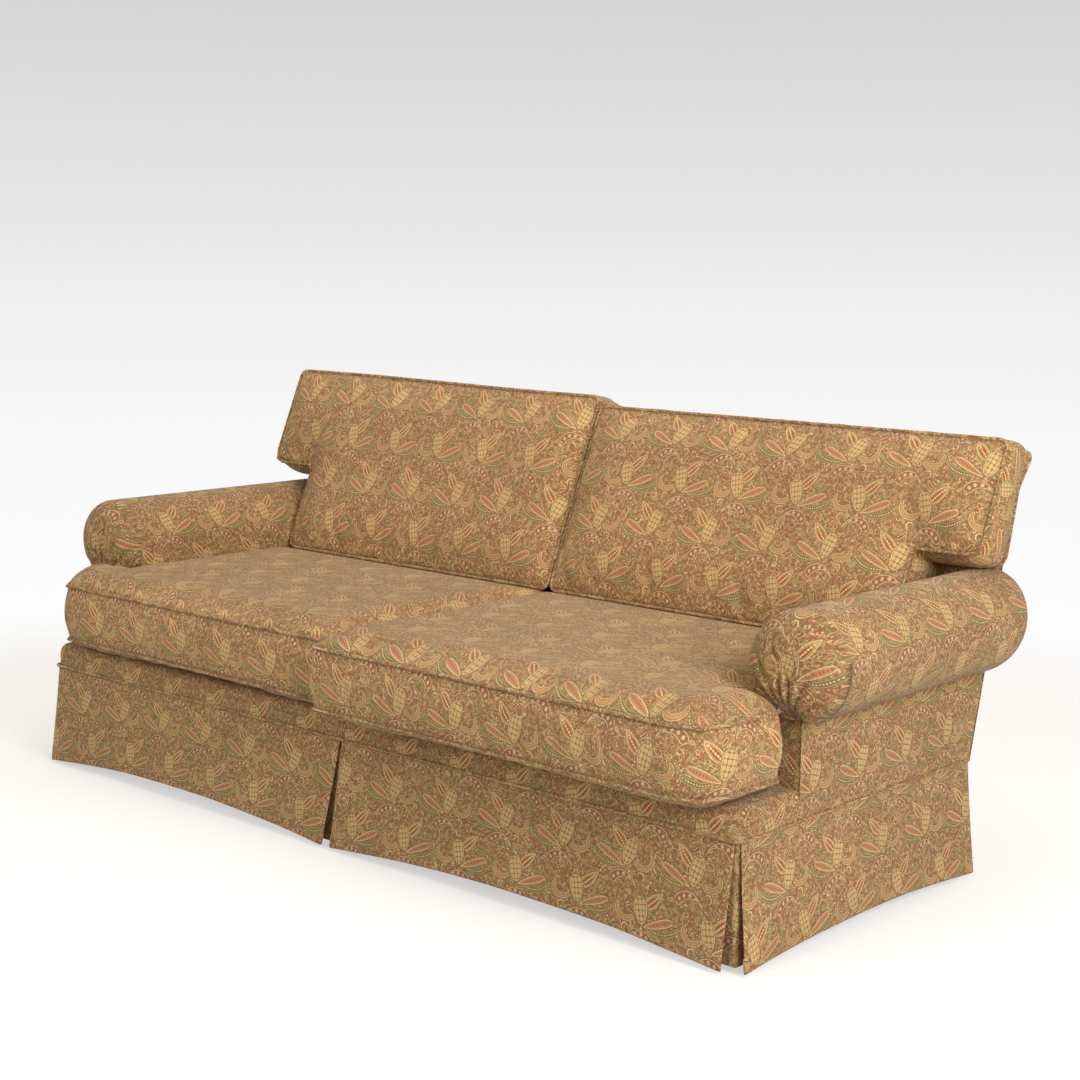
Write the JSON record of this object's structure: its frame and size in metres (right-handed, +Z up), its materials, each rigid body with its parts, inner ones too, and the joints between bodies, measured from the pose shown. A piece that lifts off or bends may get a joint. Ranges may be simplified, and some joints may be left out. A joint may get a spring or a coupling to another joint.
{
  "type": "english roll arm sofa",
  "caption": "Sofa with low rolled arms set back from the front, loose seat and back cushions and a pleated skirt, covered in paisley cloth.",
  "frame": {"origin": "centre of the bounding box's floor face, on the floor under the middle of the sofa", "axes": "+Z up, the front looks along -Y, +X to the right of someone facing the front"},
  "size_m": [2.28, 1.035, 0.935],
  "materials": {
    "cover_fabric": "woven paisley, matt",
    "padding": "cotton felt",
    "cushion_filling": "foam and fibre",
    "hessian": "coarse jute weave",
    "dust_cloth": "thin black cloth",
    "frame_wood": "sawn hardwood",
    "leg_wood": "dark stained",
    "spring_steel": "drawn wire",
    "bolt_steel": "zinc",
    "glide_plastic": "moulded"
  },
  "bodies": {
    "root": {"arm_cover_left": "cover_fabric", "arm_cover_right": "cover_fabric", "arm_outer_rail_left": "frame_wood", "arm_outer_rail_right": "frame_wood", "arm_pad_left": "padding", "arm_pad_right": "padding", "arm_stuff_rail_left": "frame_wood", "arm_stuff_rail_right": "frame_wood", "arm_stump_left": "frame_wood", "arm_stump_right": "frame_wood", "arm_top_rail_left": "frame_wood", "arm_top_rail_right": "frame_wood", "back_centre_post": "frame_wood", "back_low_rails": "frame_wood", "back_pad": "padding", "back_post_left": "frame_wood", "back_post_right": "frame_wood", "back_rail": "frame_wood", "back_top_rail": "frame_wood", "back_webbing": "hessian", "deck_pad": "padding", "dust_cover": "dust_cloth", "front_edge_roll": "padding", "front_rail": "frame_wood", "inside_back_cover": "cover_fabric", "leg_blocks": "frame_wood", "leg_bolts": "bolt_steel", "leg_front_centre": "leg_wood", "leg_front_left": "leg_wood", "leg_front_right": "leg_wood", "leg_glides": "glide_plastic", "leg_rear_centre": "leg_wood", "leg_rear_left": "leg_wood", "leg_rear_right": "leg_wood", "outside_arm_left": "cover_fabric", "outside_arm_right": "cover_fabric", "outside_back": "cover_fabric", "platform_cover": "cover_fabric", "pleat_underlays": "cover_fabric", "seat_springs": "spring_steel", "seat_stretchers": "frame_wood", "side_rail_left": "frame_wood", "side_rail_right": "frame_wood", "skirt_back": "cover_fabric", "skirt_front_left": "cover_fabric", "skirt_front_right": "cover_fabric", "skirt_side_left": "cover_fabric", "skirt_side_right": "cover_fabric", "spring_clips": "spring_steel", "spring_hessian": "hessian", "spring_ties": "spring_steel"},
    "seat_left": {"seat_cushion_left": "cover_fabric", "seat_core_left": "cushion_filling"},
    "seat_right": {"seat_cushion_right": "cover_fabric", "seat_core_right": "cushion_filling"},
    "back_left": {"back_cushion_left": "cover_fabric", "back_core_left": "cushion_filling"},
    "back_right": {"back_cushion_right": "cover_fabric", "back_core_right": "cushion_filling"}
  },
  "joints": [
    {"name": "seat_left_pull", "type": "slide", "parent": "root", "child": "seat_left", "axis": [0, -1, 0], "range_m": [0, 0.75]},
    {"name": "seat_right_pull", "type": "slide", "parent": "root", "child": "seat_right", "axis": [0, -1, 0], "range_m": [0, 0.75]},
    {"name": "back_left_lift", "type": "slide", "parent": "root", "child": "back_left", "axis": [0, 0, 1], "range_m": [0, 0.4]},
    {"name": "back_right_lift", "type": "slide", "parent": "root", "child": "back_right", "axis": [0, 0, 1], "range_m": [0, 0.4]}
  ]
}
